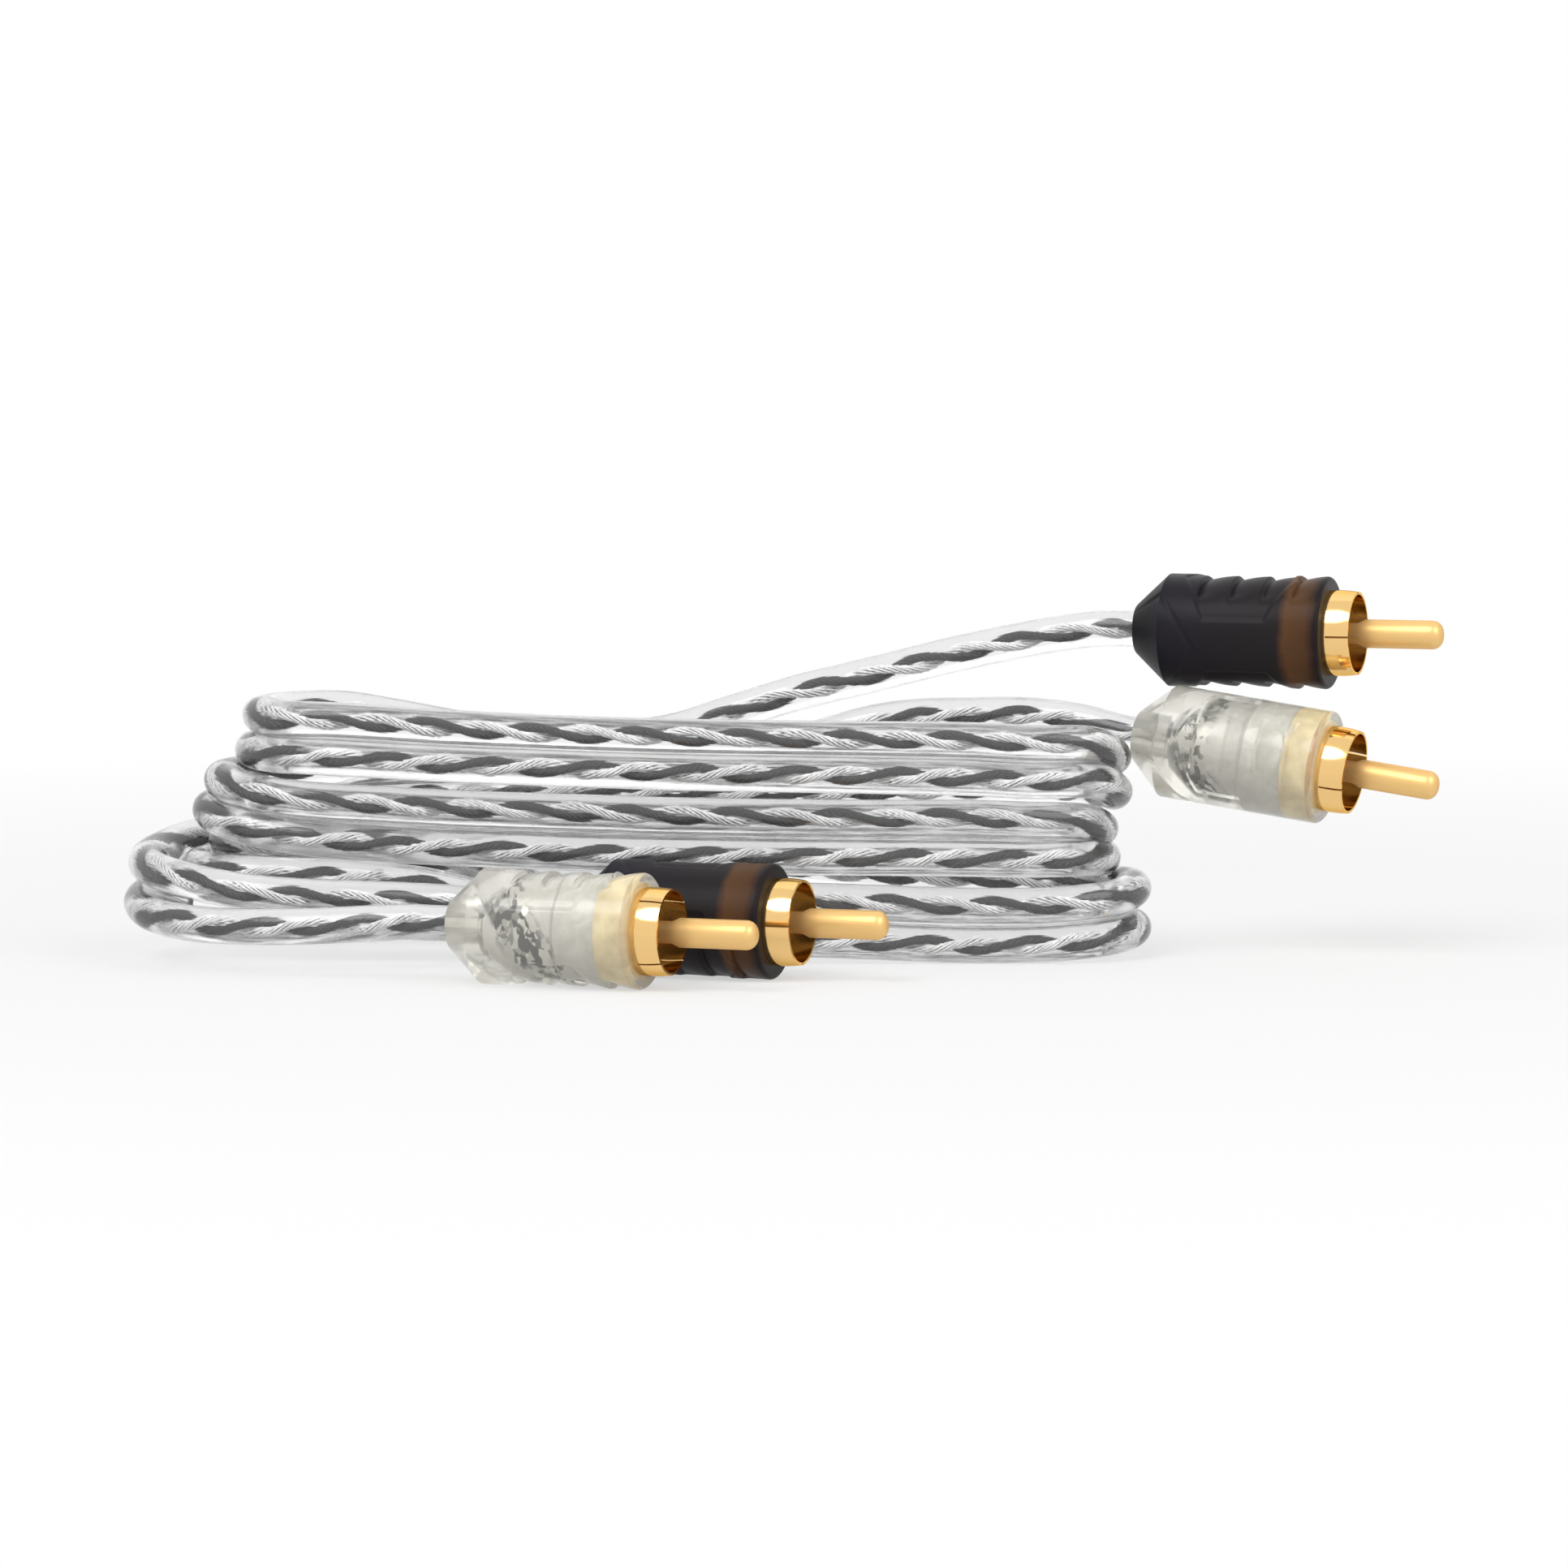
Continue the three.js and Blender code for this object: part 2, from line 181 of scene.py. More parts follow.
# Round ends between the runs: both channels' heights a quarter, half and three quarters of the
# way, and what share of the lean between the two channels is left there
TURNS = [
    ((0.0270, 0.0231), (0.02696, 0.0231), (0.02693, 0.0230)),
    ((0.0241, 0.0201), (0.0222, 0.0184), (0.0219, 0.0179)),
    ((0.0200, 0.0167), (0.0198, 0.0165), (0.0191, 0.0154)),
    ((0.0156, 0.0115), (0.0143, 0.0111), (0.0141, 0.0106)),
    ((0.0134, 0.0102), (0.0130, 0.0101), (0.0129, 0.0100)),
    ((0.0071, 0.0028), (0.0077, 0.0033), (0.0077, 0.0034)),
]
TURN_LEANS = (0.5, 0.1, 0.5, 0.1, 1.0, 0.3)

# Loop from the hank round its left end to the front plugs, and how many of its points the web joins
LOOP_SMOKE = [
    (-0.0420, 0.0136, 0.0122), (-0.0520, 0.0137, 0.0130), (-0.0620, 0.0137, 0.0134),
    (-0.0720, 0.0133, 0.0133), (-0.0800, 0.0102, 0.0126), (-0.0840, 0.0030, 0.0117),
    (-0.0852, -0.0040, 0.0110), (-0.0836, -0.0104, 0.0105), (-0.0790, -0.0158, 0.0097),
    (-0.0730, -0.0186, 0.0089), (-0.0660, -0.0190, 0.0084), (-0.0586, -0.0174, 0.0080),
    (-0.0520, -0.0157, 0.0075), (-0.0464, -0.0147, 0.0069),
]
LOOP_CLEAR = [
    (-0.0420, 0.0136, 0.00785), (-0.0520, 0.0137, 0.0086), (-0.0620, 0.0137, 0.0089),
    (-0.0720, 0.0134, 0.0087), (-0.0802, 0.0102, 0.0080), (-0.0846, 0.0030, 0.0072),
    (-0.0857, -0.0044, 0.0066), (-0.0840, -0.0114, 0.0059), (-0.0795, -0.0174, 0.0054),
    (-0.0740, -0.0212, 0.0054), (-0.0675, -0.0234, 0.0056), (-0.0600, -0.0246, 0.0060),
    (-0.0556, -0.0259, 0.0063),
]
JOINED_IN_LOOP = 9


def pair(x, y, upper, lower, outward, leaning=1.0):
    """The two channels' centres, the lower one leaning outward so that they keep their spacing."""
    lean = leaning * math.sqrt(max(0.0, STRAND_SPACING**2 - (upper - lower) ** 2)) / 2
    shift = outward * lean
    return Vector((x - shift.x, y - shift.y, upper)), Vector((x + shift.x, y + shift.y, lower))


def hank_pairs():
    """Pairs of centres along every run and round end of the hank, in the order they are wound."""
    pairs = []
    for i, run in enumerate(RUNS):
        side = 1 if i % 2 == 0 else -1
        pairs += [pair(*station, Vector((0, side, 0))) for station in run]
        if i == len(TURNS):
            break
        x0, y0 = run[-1][:2]
        y1 = RUNS[i + 1][0][1]
        radius, middle = abs(y0 - y1) / 2, (y0 + y1) / 2
        heading = -1 if i % 2 == 0 else 1
        for quarter, (upper, lower) in enumerate(TURNS[i], start=1):
            angle = quarter * math.pi / 4
            outward = Vector((heading * math.sin(angle), side * math.cos(angle), 0))
            x, y = x0 + outward.x * radius, middle + outward.y * radius
            pairs.append(pair(x, y, upper, lower, outward, TURN_LEANS[i]))
    return pairs


def on_axis(plug, distance):
    return plug_places[plug] @ Vector((distance, 0, 0))


hank = hank_pairs()
AT_PLUG = (INSIDE_PLUG, 0, -OUT_OF_PLUG)


def channel_points(top_plug, top, side, loop, front_plug):
    """A channel's control points, from inside its top plug to inside its front plug."""
    points = [on_axis(top_plug, distance) for distance in AT_PLUG]
    points += [Vector(p) for p in top]
    points += [both[side].copy() for both in hank]
    points += [Vector(p) for p in loop]
    points += [on_axis(front_plug, distance) for distance in reversed(AT_PLUG)]
    return points


def spline_point(points, at):
    """A point on the centripetal curve through points, at an index with a fraction."""
    i = min(int(at), len(points) - 2)
    p1, p2 = points[i], points[i + 1]
    p0 = points[i - 1] if i > 0 else 2 * p1 - p2
    p3 = points[i + 2] if i + 2 < len(points) else 2 * p2 - p1
    d1, d2, d3 = ((b - a).length ** 0.5 for a, b in ((p0, p1), (p1, p2), (p2, p3)))
    t1, t2, t3 = d1, d1 + d2, d1 + d2 + d3
    t = t1 + (at - i) * d2
    a1 = p0 * ((t1 - t) / t1) + p1 * (t / t1)
    a2 = p1 * ((t2 - t) / d2) + p2 * ((t - t1) / d2)
    a3 = p2 * ((t3 - t) / d3) + p3 * ((t - t2) / d3)
    b1 = a1 * ((t2 - t) / t2) + a2 * (t / t2)
    b2 = a2 * ((t3 - t) / (t3 - t1)) + a3 * ((t - t1) / (t3 - t1))
    return b1 * ((t2 - t) / d2) + b2 * ((t - t1) / d2)


def even_route(points, step):
    """Points an even step apart on the curve through points."""
    count = (len(points) - 1) * STEPS_IN_SPAN + 1
    fine = [spline_point(points, i / STEPS_IN_SPAN) for i in range(count)]
    travelled = [0.0]
    for a, b in zip(fine, fine[1:]):
        travelled.append(travelled[-1] + (b - a).length)
    count = round(travelled[-1] / step)
    route, j = [], 0
    for k in range(count + 1):
        wanted = travelled[-1] * k / count
        while j < len(fine) - 2 and travelled[j + 1] < wanted:
            j += 1
        share = (wanted - travelled[j]) / (travelled[j + 1] - travelled[j])
        route.append(fine[j].lerp(fine[j + 1], share))
    return route


def route_length(route):
    return sum((b - a).length for a, b in zip(route, route[1:]))


def directions(route):
    ends = [route[0]] + route + [route[-1]]
    return [(ends[i + 2] - ends[i]).normalized() for i in range(len(route))]


def sideways(route):
    """For each point a direction across the route, carried along without twisting."""
    along = directions(route)
    side = along[0].orthogonal().normalized()
    sides = []
    for direction in along:
        side = (side - direction * side.dot(direction)).normalized()
        sides.append(side)
    return list(zip(along, sides))


def new_piece(name, mesh, material):
    piece = bpy.data.objects.new(name, mesh)
    bpy.context.scene.collection.objects.link(piece)
    mesh.materials.append(material)
    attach(piece, "root")
    return piece


def centre_of(ring):
    return sum(ring, Vector()) / len(ring)


def tube_mesh(name, bundle, lengthwise):
    """Closed tubes through rings of points, with UV lengthwise as given and around from 0 to 1."""
    verts, faces, uvs = [], [], []
    for rings in bundle:
        count, start = len(rings[0]), len(verts)
        verts += [p for ring in rings for p in ring] + [centre_of(rings[0]), centre_of(rings[-1])]
        for i in range(len(rings) - 1):
            here, there = start + i * count, start + (i + 1) * count
            for j in range(count):
                k = (j + 1) % count
                faces.append((here + j, here + k, there + k, there + j))
                u0, u1 = lengthwise[i], lengthwise[i + 1]
                v0, v1 = j / count, (j + 1) / count
                uvs += [(u0, v0), (u0, v1), (u1, v1), (u1, v0)]
        first, last = len(verts) - 2, len(verts) - 1
        end = start + (len(rings) - 1) * count
        for j in range(count):
            k = (j + 1) % count
            faces += [(first, start + k, start + j), (last, end + j, end + k)]
            uvs += [(lengthwise[0], 0)] * 3 + [(lengthwise[-1], 0)] * 3
    mesh = bpy.data.meshes.new(name)
    mesh.from_pydata(verts, [], faces)
    layer = mesh.uv_layers.new(name="lay")
    layer.data.foreach_set("uv", [value for uv in uvs for value in uv])
    mesh.shade_smooth()
    mesh.update()
    return mesh


def wound(route, pitch, offset, phase, stray=0.0, stray_pitch=1.0):
    """The centre line of something wound round a route at an offset, straying a little from it."""
    step = route_length(route) / (len(route) - 1)
    line = []
    for i, (point, (along, side)) in enumerate(zip(route, sideways(route))):
        turn = phase + 2 * math.pi * i * step / pitch
        out = side * math.cos(turn) + along.cross(side) * math.sin(turn)
        astray = stray * math.sin(2 * math.pi * i * step / stray_pitch + phase)
        line.append(point + out * (offset + astray))
    return line


def tube_rings(line, radius, sides):
    """A round ring of points across a line at each of its points."""
    angles = [2 * math.pi * j / sides for j in range(sides)]
    rings = []
    for centre, (along, side) in zip(line, sideways(line)):
        up = along.cross(side)
        rings.append([centre + (side * math.cos(a) + up * math.sin(a)) * radius for a in angles])
    return rings


def faces_of_tube(rings, sides):
    """How many faces tube_mesh gives a tube, its two ends among them."""
    return (rings + 1) * sides


def lengths_along(route, pitch):
    """How far along a route each of its points is, counted in pitches."""
    step = route_length(route) / (len(route) - 1)
    return [i * step / pitch for i in range(len(route))]


# Materials


class Nodes:
    """Short calls for building one material's nodes."""

    def __init__(self, name):
        self.material = bpy.data.materials.new(name)
        self.material.use_nodes = True
        self.tree = self.material.node_tree
        self.shader = self.tree.nodes["Principled BSDF"]
        self.output = self.tree.nodes["Material Output"]

    def add(self, kind, links=None, **settings):
        node = self.tree.nodes.new(kind)
        for key, value in settings.items():
            setattr(node, key, value)
        for socket, value in (links or {}).items():
            self.put(node.inputs[socket], value)
        return node

    def put(self, socket, value):
        if isinstance(value, bpy.types.NodeSocket):
            self.tree.links.new(value, socket)
        else:
            socket.default_value = value

    def set(self, **values):
        for name, value in values.items():
            self.put(self.shader.inputs[name.replace("_", " ")], value)

    def ramp(self, value, stops):
        node = self.add("ShaderNodeValToRGB", {0: value})
        while len(node.color_ramp.elements) < len(stops):
            node.color_ramp.elements.new(0.5)
        for element, (place, colour) in zip(node.color_ramp.elements, stops):
            element.position = place
            element.color = (*colour, 1)
        return node.outputs[0]

    def let_lamps_through(self, tint=(1, 1, 1)):
        """Shadow rays pass, so that what is inside is lit."""
        path = self.add("ShaderNodeLightPath")
        clear = self.add("ShaderNodeBsdfTransparent", {"Color": (*tint, 1)})
        mix = self.add(
            "ShaderNodeMixShader",
            {0: path.outputs["Is Shadow Ray"], 1: self.shader.outputs[0], 2: clear.outputs[0]},
        )
        self.tree.links.new(mix.outputs[0], self.output.inputs[0])


def jacket_material():
    """Clear soft plastic with faint lengthwise streaks."""
    n = Nodes("clear_jacket")
    n.set(
        Base_Color=(0.915, 0.915, 0.918, 1), Roughness=0.05, IOR=1.46, Transmission_Weight=0.95,
    )
    where = n.add("ShaderNodeTexCoord")
    stretch = n.add("ShaderNodeMapping", {"Vector": where.outputs["UV"], "Scale": (0.7, 18, 1)})
    streaks = n.add("ShaderNodeTexNoise", {
        "Vector": stretch.outputs[0], "Scale": 3.0, "Detail": 3.0,
    })
    bump = n.add(
        "ShaderNodeBump",
        {"Height": streaks.outputs["Fac"], "Strength": 0.4, "Distance": 0.00008},
    )
    n.set(Normal=bump.outputs[0])
    n.let_lamps_through((0.95, 0.95, 0.95))
    return n.material


def dark_conductor_material():
    """A bunch of fine dark wires, laid slantwise, with the gaps between them painted darker as
    shade.
    """
    n = Nodes("dark_conductor")
    where = n.add("ShaderNodeTexCoord")
    parts = n.add("ShaderNodeSeparateXYZ", {0: where.outputs["UV"]})
    along = n.add("ShaderNodeMath", {
        0: parts.outputs[0], 1: DARK_WIRE_TURNS,
    }, operation="MULTIPLY")
    around = n.add("ShaderNodeMath", {
        0: parts.outputs[1], 1: along.outputs[0],
    }, operation="SUBTRACT")
    turns = n.add("ShaderNodeMath", {
        0: around.outputs[0], 1: DARK_WIRES_SEEN * 2 * math.pi,
    }, operation="MULTIPLY")
    wires = n.add("ShaderNodeMath", {0: turns.outputs[0]}, operation="SINE")
    height = n.add(
        "ShaderNodeMapRange", {"Value": wires.outputs[0], "From Min": -1.0, "From Max": 1.0}
    ).outputs[0]
    colour = (0.012, 0.012, 0.0135)
    # Painted shade: the gaps between the wires are drawn darker than the wires
    painted_gap_shade = tuple(c * 0.2 for c in colour)
    n.set(
        Base_Color=n.ramp(height, [(0.0, painted_gap_shade), (0.28, colour)]), Roughness=0.5, Metallic=0.2,
    )
    bump = n.add("ShaderNodeBump", {"Height": height, "Strength": 0.7, "Distance": 0.00008})
    n.set(Normal=bump.outputs[0])
    return n.material


def plain_noise_material(name, dark, light, roughness, scale):
    """One finish, mottled between two colours."""
    n = Nodes(name)
    where = n.add("ShaderNodeTexCoord")
    mottle = n.add("ShaderNodeTexNoise", {
        "Vector": where.outputs["Object"], "Scale": scale, "Detail": 5.0,
    })
    n.set(
        Base_Color=n.ramp(mottle.outputs["Fac"], [(0.35, dark), (0.65, light)]),
        Roughness=roughness,
    )
    return n.material


materials = {
    "jacket": jacket_material(),
    "dark_conductor": dark_conductor_material(),
    "bright_conductor": plain_noise_material(
        "bright_conductor", (0.60, 0.60, 0.60), (0.80, 0.80, 0.80), 0.4, 900,
    ),
}


# Cords

CHANNELS = {
    "smoke": {
        "top": "top_smoke", "front": "front_smoke", "side": 0,
        "routes": (TOP_SMOKE, LOOP_SMOKE), "pitch": 0.01149, "start_turn": 0.81,
        "solids": ("hank", "lead_top_smoke", "lead_loop_smoke"),
    },
    "clear": {
        "top": "top_clear", "front": "front_clear", "side": 1,
        "routes": (TOP_CLEAR, LOOP_CLEAR), "pitch": -LAY_PITCH, "start_turn": 0.0,
        "solids": ("lead_top_clear", "lead_loop_clear"),
    },
}

for channel, made in CHANNELS.items():
    top, loop = made["routes"]
    points = channel_points(made["top"], top, made["side"], loop, made["front"])
    route = even_route(points, ROUTE_STEP)
    jacket_tube = tube_mesh(
        f"jacket_{channel}", [tube_rings(route, JACKET_RADIUS, JACKET_SIDES)],
        lengths_along(route, LAY_PITCH),
    )
    jacket = new_piece(f"jacket_{channel}", jacket_tube, materials["jacket"])
    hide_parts(*made["solids"])
    lay_route = even_route(points, LAY_STEP)
    turns = lengths_along(lay_route, made["pitch"])
    start = 2 * math.pi * made["start_turn"]
    dark_line = wound(lay_route, made["pitch"], LAY_RADIUS, start)
    bright_line = wound(lay_route, made["pitch"], LAY_RADIUS, start + math.pi)
    bright_wires = [tube_rings(bright_line, MIDDLE_SHADE_WIRE_RADIUS, MIDDLE_SHADE_WIRE_SIDES)]
    for k in range(WIRES):
        line = wound(
            bright_line, math.copysign(WIRE_PITCH, made["pitch"]), WIRE_RING_RADIUS,
            2 * math.pi * k / WIRES, WIRE_STRAY, WIRE_STRAY_PITCH,
        )
        bright_wires.append(tube_rings(line, WIRE_RADIUS, WIRE_SIDES))
    bundles = {
        "dark_conductor": [tube_rings(dark_line, DARK_RADIUS, DARK_SIDES)],
        "bright_conductor": bright_wires,
    }
    conductors = []
    for slot, bundle in bundles.items():
        name = f"{slot}_{channel}"
        mesh = tube_mesh(name, bundle, turns)
        conductors.append(new_piece(name, mesh, materials[slot]))
    # The middle wire takes the dark conductor's finish as painted shade, so that the gaps between
    # the bright wires look dark
    bright = conductors[-1].data
    bright.materials.append(materials["dark_conductor"])
    for face in bright.polygons[:faces_of_tube(len(lay_route), MIDDLE_SHADE_WIRE_SIDES)]:
        face.material_index = 1


# Web: it runs from one station of the wound lead to another, and thins out towards both ends,
# over WEB_FADE of a station
WEB_THICKNESS = 0.0006
WEB_FIRST, WEB_LAST = 1, len(hank) + JOINED_IN_LOOP - 1
WEB_FADE = 0.8
WEB_THINNEST = 0.1
WEB_STEPS = 8


def web_mesh(name, first, last):
    """The thin strip that joins the two channels, between two stations of the wound lead."""
    smoke, clear = (
        channel_points(
            made["top"], made["routes"][0], made["side"], made["routes"][1], made["front"]
        )
        for made in CHANNELS.values()
    )
    smoke_start, clear_start = len(AT_PLUG) + len(TOP_SMOKE), len(AT_PLUG) + len(TOP_CLEAR)
    a_little = 0.01
    rings = []
    for k in range((last - first) * WEB_STEPS + 1):
        at = first + k / WEB_STEPS
        a, b = spline_point(smoke, smoke_start + at), spline_point(clear, clear_start + at)
        a2 = spline_point(smoke, smoke_start + at + a_little)
        b2 = spline_point(clear, clear_start + at + a_little)
        across = (b - a).normalized()
        ending = min(1.0, (last - at) / WEB_FADE, (at - first) / WEB_FADE)
        half = WEB_THICKNESS / 2 * max(WEB_THINNEST, ending)
        thick = (a2 - a + b2 - b).cross(across).normalized() * half
        inset = across * (JACKET_RADIUS - WEB_THICKNESS)
        low, high = a + inset, b - inset
        rings.append([low - thick, high - thick, high + thick, low + thick])
    return tube_mesh(name, [rings], [k / WEB_STEPS for k in range(len(rings))])


web = new_piece("web", web_mesh("web", WEB_FIRST, WEB_LAST), materials["jacket"])


# Plugs

# Sizes in metres, with lengths counted from the rear face. Outside they are the part's, and
# inside the pieces fit closer, and the collar is thinner, with narrower slots
BODY_RADIUS = 0.0063
REAR_RADIUS = 0.0030
REAR_EDGE = 0.0002
REAR_CONE_LENGTH = 0.0038
FRONT_CHAMFER = 0.0005
CABLE_HOLE_RADIUS = 0.00203
CABLE_HOLE_DEPTH = 0.0042
CABLE_HOLE_EDGE = 0.0001
BODY_INSIDE_END = 0.0181
FLANGE = (0.0183, 0.0213)
FLANGE_RADIUS = 0.0052
COLLAR_RADIUS = 0.00462
COLLAR_BULGE = 0.00016
COLLAR_WALL = 0.0003
COLLAR_RIM = 0.0253
COLLAR_STEPS = 12
SLOT_WIDTH = 0.00022
SLOT_ROOT = 0.0005
PIN_TAIL = 0.0133
PIN_RADIUS = 0.0016
PIN_NECK_RADIUS = 0.0012
PIN_NECK_START = 0.0209
PIN_SHOULDER = 0.0262
PIN_TIP = 0.0350
PIN_TIP_RADIUS = 0.0012

# Core mould: a tail that widens, a waist of its radius, and a wider head with an edge at its rear
CORE_START = 0.0047
CORE_START_RADIUS = 0.0020
CORE_TAIL_END = 0.0078
CORE_WAIST = (0.0090, 0.0133)
CORE_WAIST_RADIUS = 0.0039
CORE_HEAD_RADIUS = 0.0049
CORE_HEAD_EDGE = 0.0003
CORE_HEAD_END = FLANGE[0] - 0.00003

# Grip: a tapering panel on two opposite sides, with scoops across it, and a crease behind it
PANEL_DEPTH = 0.00016
PANEL_EDGE_WIDTH = 0.00022
PANEL_ENDS = (0.0058, 0.0191)
PANEL_TAPER = 0.45
PANEL_HALF_ANGLE = math.radians(62)
SCOOP_FIRST = 0.0079
SCOOP_PITCH = 0.00362
SCOOP_COUNT = 4
SCOOP_DEPTH = 0.00062
SCOOP_HALF_ANGLE = math.radians(44)
SCOOP_FULL_SHARE = 0.55
SCOOP_WALL_SHARE = 0.07
SCOOP_CURVE = 1.8
CREASE_DEPTH = 0.0001
CREASE_WIDTH = 0.0003
CREASE_START = 0.0040
CREASE_HALF_ANGLE = math.radians(54)
CREASE_REACH = 1.1
CREASE_TIP = 0.0078

# How finely the pieces are turned
GRIP_SEGMENTS = 144
GRIP_STEP = 0.00016
SHELL_SEGMENTS = 128
PIN_SEGMENTS = 48

# How each collar's slots are turned about the plug
SLOT_TURNS = {"top_smoke": -12, "top_clear": -54, "front_clear": 38, "front_smoke": 40}


def smooth(low, high, value):
    t = min(1.0, max(0.0, (value - low) / (high - low)))
    return t * t * (3 - 2 * t)


def from_side(angle):
    """The angle's distance from the nearer of the two sides without scoops."""
    return min(abs(angle), math.pi - abs(angle))


def grip_depth(along, angle):
    """How far the grip's surface lies below its barrel; angle 0 is a side without scoops."""
    from_panel = abs(abs(angle) - math.pi / 2)
    arc = from_panel * BODY_RADIUS
    inside = min(
        along - PANEL_ENDS[0] - arc * PANEL_TAPER,
        PANEL_ENDS[1] - arc * PANEL_TAPER - along,
        (PANEL_HALF_ANGLE - from_panel) * BODY_RADIUS,
    )
    depth = PANEL_DEPTH * smooth(0, PANEL_EDGE_WIDTH, inside)
    across = 1 - smooth(SCOOP_FULL_SHARE * SCOOP_HALF_ANGLE, SCOOP_HALF_ANGLE, from_panel)
    share = (along - SCOOP_FIRST) / SCOOP_PITCH
    if 0 <= share < SCOOP_COUNT and across:
        t = share - int(share)
        wall = smooth(0, SCOOP_WALL_SHARE, t)
        depth += SCOOP_DEPTH * across * wall * (1 - t) ** SCOOP_CURVE
    reach = from_side(angle) / CREASE_HALF_ANGLE
    crease = CREASE_TIP - (CREASE_TIP - CREASE_START) * reach
    if reach < CREASE_REACH:
        depth += CREASE_DEPTH * math.exp(-(((along - crease) / CREASE_WIDTH) ** 2))
    return depth


def lathe(name, profile, segments, depth=None):
    """A piece turned about X, from an outline of (radius, along) that closes on itself."""
    shape = bmesh.new()
    rings = []
    for radius, along in profile:
        ring = []
        for j in range(segments):
            angle = 2 * math.pi * j / segments - math.pi
            r = radius
            if depth and radius > BODY_RADIUS - FRONT_CHAMFER / 4:
                r -= depth(along, angle)
            ring.append(shape.verts.new((along, r * math.cos(angle), r * math.sin(angle))))
        rings.append(ring)
    for i, (a, b) in enumerate(zip(rings, rings[1:] + rings[:1])):
        if profile[i][0] == 0 and profile[(i + 1) % len(profile)][0] == 0:
            continue
        for j in range(segments):
            k = (j + 1) % segments
            shape.faces.new((a[j], a[k], b[k], b[j]))
    bmesh.ops.remove_doubles(shape, verts=shape.verts, dist=1e-7)
    bmesh.ops.recalc_face_normals(shape, faces=shape.faces)
    mesh = bpy.data.meshes.new(name)
    shape.to_mesh(mesh)
    shape.free()
    return mesh


def smooth_shaded(mesh, sharp_from):
    mesh.shade_smooth()
    mesh.set_sharp_from_angle(angle=math.radians(sharp_from))
    return mesh


def arc(centre, radius, start, end, steps):
    """Points (radius, along) on a quarter or other round of an outline, angles in degrees."""
    angles = [math.radians(start + (end - start) * i / steps) for i in range(steps + 1)]
    return [(centre[0] + radius * math.cos(a), centre[1] + radius * math.sin(a)) for a in angles]


def grip_mesh(name):
    """The plug's moulding, open behind for the lead and in front for the collar."""
    barrel_length = BODY_LENGTH - FRONT_CHAMFER - REAR_CONE_LENGTH
    steps = round(barrel_length / GRIP_STEP)
    barrel = [
        (BODY_RADIUS, REAR_CONE_LENGTH + barrel_length * i / steps) for i in range(steps + 1)
    ]
    corner = (BODY_RADIUS - FRONT_CHAMFER, BODY_LENGTH - FRONT_CHAMFER)
    hole, middle = CABLE_HOLE_RADIUS, COLLAR_RADIUS - COLLAR_WALL / 2
    profile = [
        (0, CABLE_HOLE_DEPTH), (hole, CABLE_HOLE_DEPTH), (hole, CABLE_HOLE_EDGE),
        (hole + CABLE_HOLE_EDGE, 0), (REAR_RADIUS - REAR_EDGE, 0), (REAR_RADIUS, REAR_EDGE),
        *barrel, *arc(corner, FRONT_CHAMFER, 10, 90, 6),
        (middle, BODY_LENGTH), (middle, BODY_INSIDE_END), (0, BODY_INSIDE_END),
    ]
    return smooth_shaded(lathe(name, profile, GRIP_SEGMENTS, grip_depth), 40)


def collar_mesh(name, slot_turn):
    """The flange and collar, slotted from the rim back."""
    front = FLANGE[1]
    outside = []
    for i in range(COLLAR_STEPS + 1):
        t = i / COLLAR_STEPS
        bulge = COLLAR_BULGE * (1 - (2 * t - 1) ** 2)
        outside.append((COLLAR_RADIUS + bulge, front + (COLLAR_RIM - front) * t))
    inside = [(r - COLLAR_WALL, a) for r, a in reversed(outside)]
    profile = [
        (COLLAR_RADIUS - COLLAR_WALL, FLANGE[0]), (FLANGE_RADIUS, FLANGE[0]),
        (FLANGE_RADIUS, front), *outside, *inside,
    ]
    shell = lathe(name, profile, SHELL_SEGMENTS)
    blank = bpy.data.objects.new(name, shell)
    bpy.context.scene.collection.objects.link(blank)
    cutters = []
    root, length = BODY_LENGTH + SLOT_ROOT, 2 * (COLLAR_RIM - BODY_LENGTH)
    for quarter in range(2):
        cutter = bpy.data.objects.new("slot", bpy.data.meshes.new("slot"))
        box = bmesh.new()
        bmesh.ops.create_cube(box, size=1)
        place = (
            Matrix.Rotation(math.radians(slot_turn + 90 * quarter), 4, "X")
            @ Matrix.Translation((root + length / 2, 0, 0))
            @ Matrix.Diagonal((length, SLOT_WIDTH, 4 * COLLAR_RADIUS, 1))
        )
        box.transform(place)
        box.to_mesh(cutter.data)
        box.free()
        bpy.context.scene.collection.objects.link(cutter)
        cut = blank.modifiers.new("slot", "BOOLEAN")
        cut.operation, cut.solver, cut.object = "DIFFERENCE", "EXACT", cutter
        cutters.append(cutter)
    depsgraph = bpy.context.evaluated_depsgraph_get()
    mesh = bpy.data.meshes.new_from_object(blank.evaluated_get(depsgraph))
    mesh.name = name
    for spare in (blank, *cutters):
        bpy.data.objects.remove(spare)
    return smooth_shaded(mesh, 35)


def core_mesh(name):
    """The pale core moulded round the joints: a tail behind, a waist and a head."""
    waist, head, edge = CORE_WAIST_RADIUS, CORE_HEAD_RADIUS, CORE_HEAD_EDGE
    waist_start, waist_end = CORE_WAIST
    profile = [
        (0, CORE_START), (CORE_START_RADIUS, CORE_START), (waist, CORE_TAIL_END),
        (waist, waist_start), (waist, waist_end - edge), (head - edge, waist_end),
        (head, waist_end + edge), (head, CORE_HEAD_END), (0, CORE_HEAD_END),
    ]
    return smooth_shaded(lathe(name, profile, SHELL_SEGMENTS), 35)


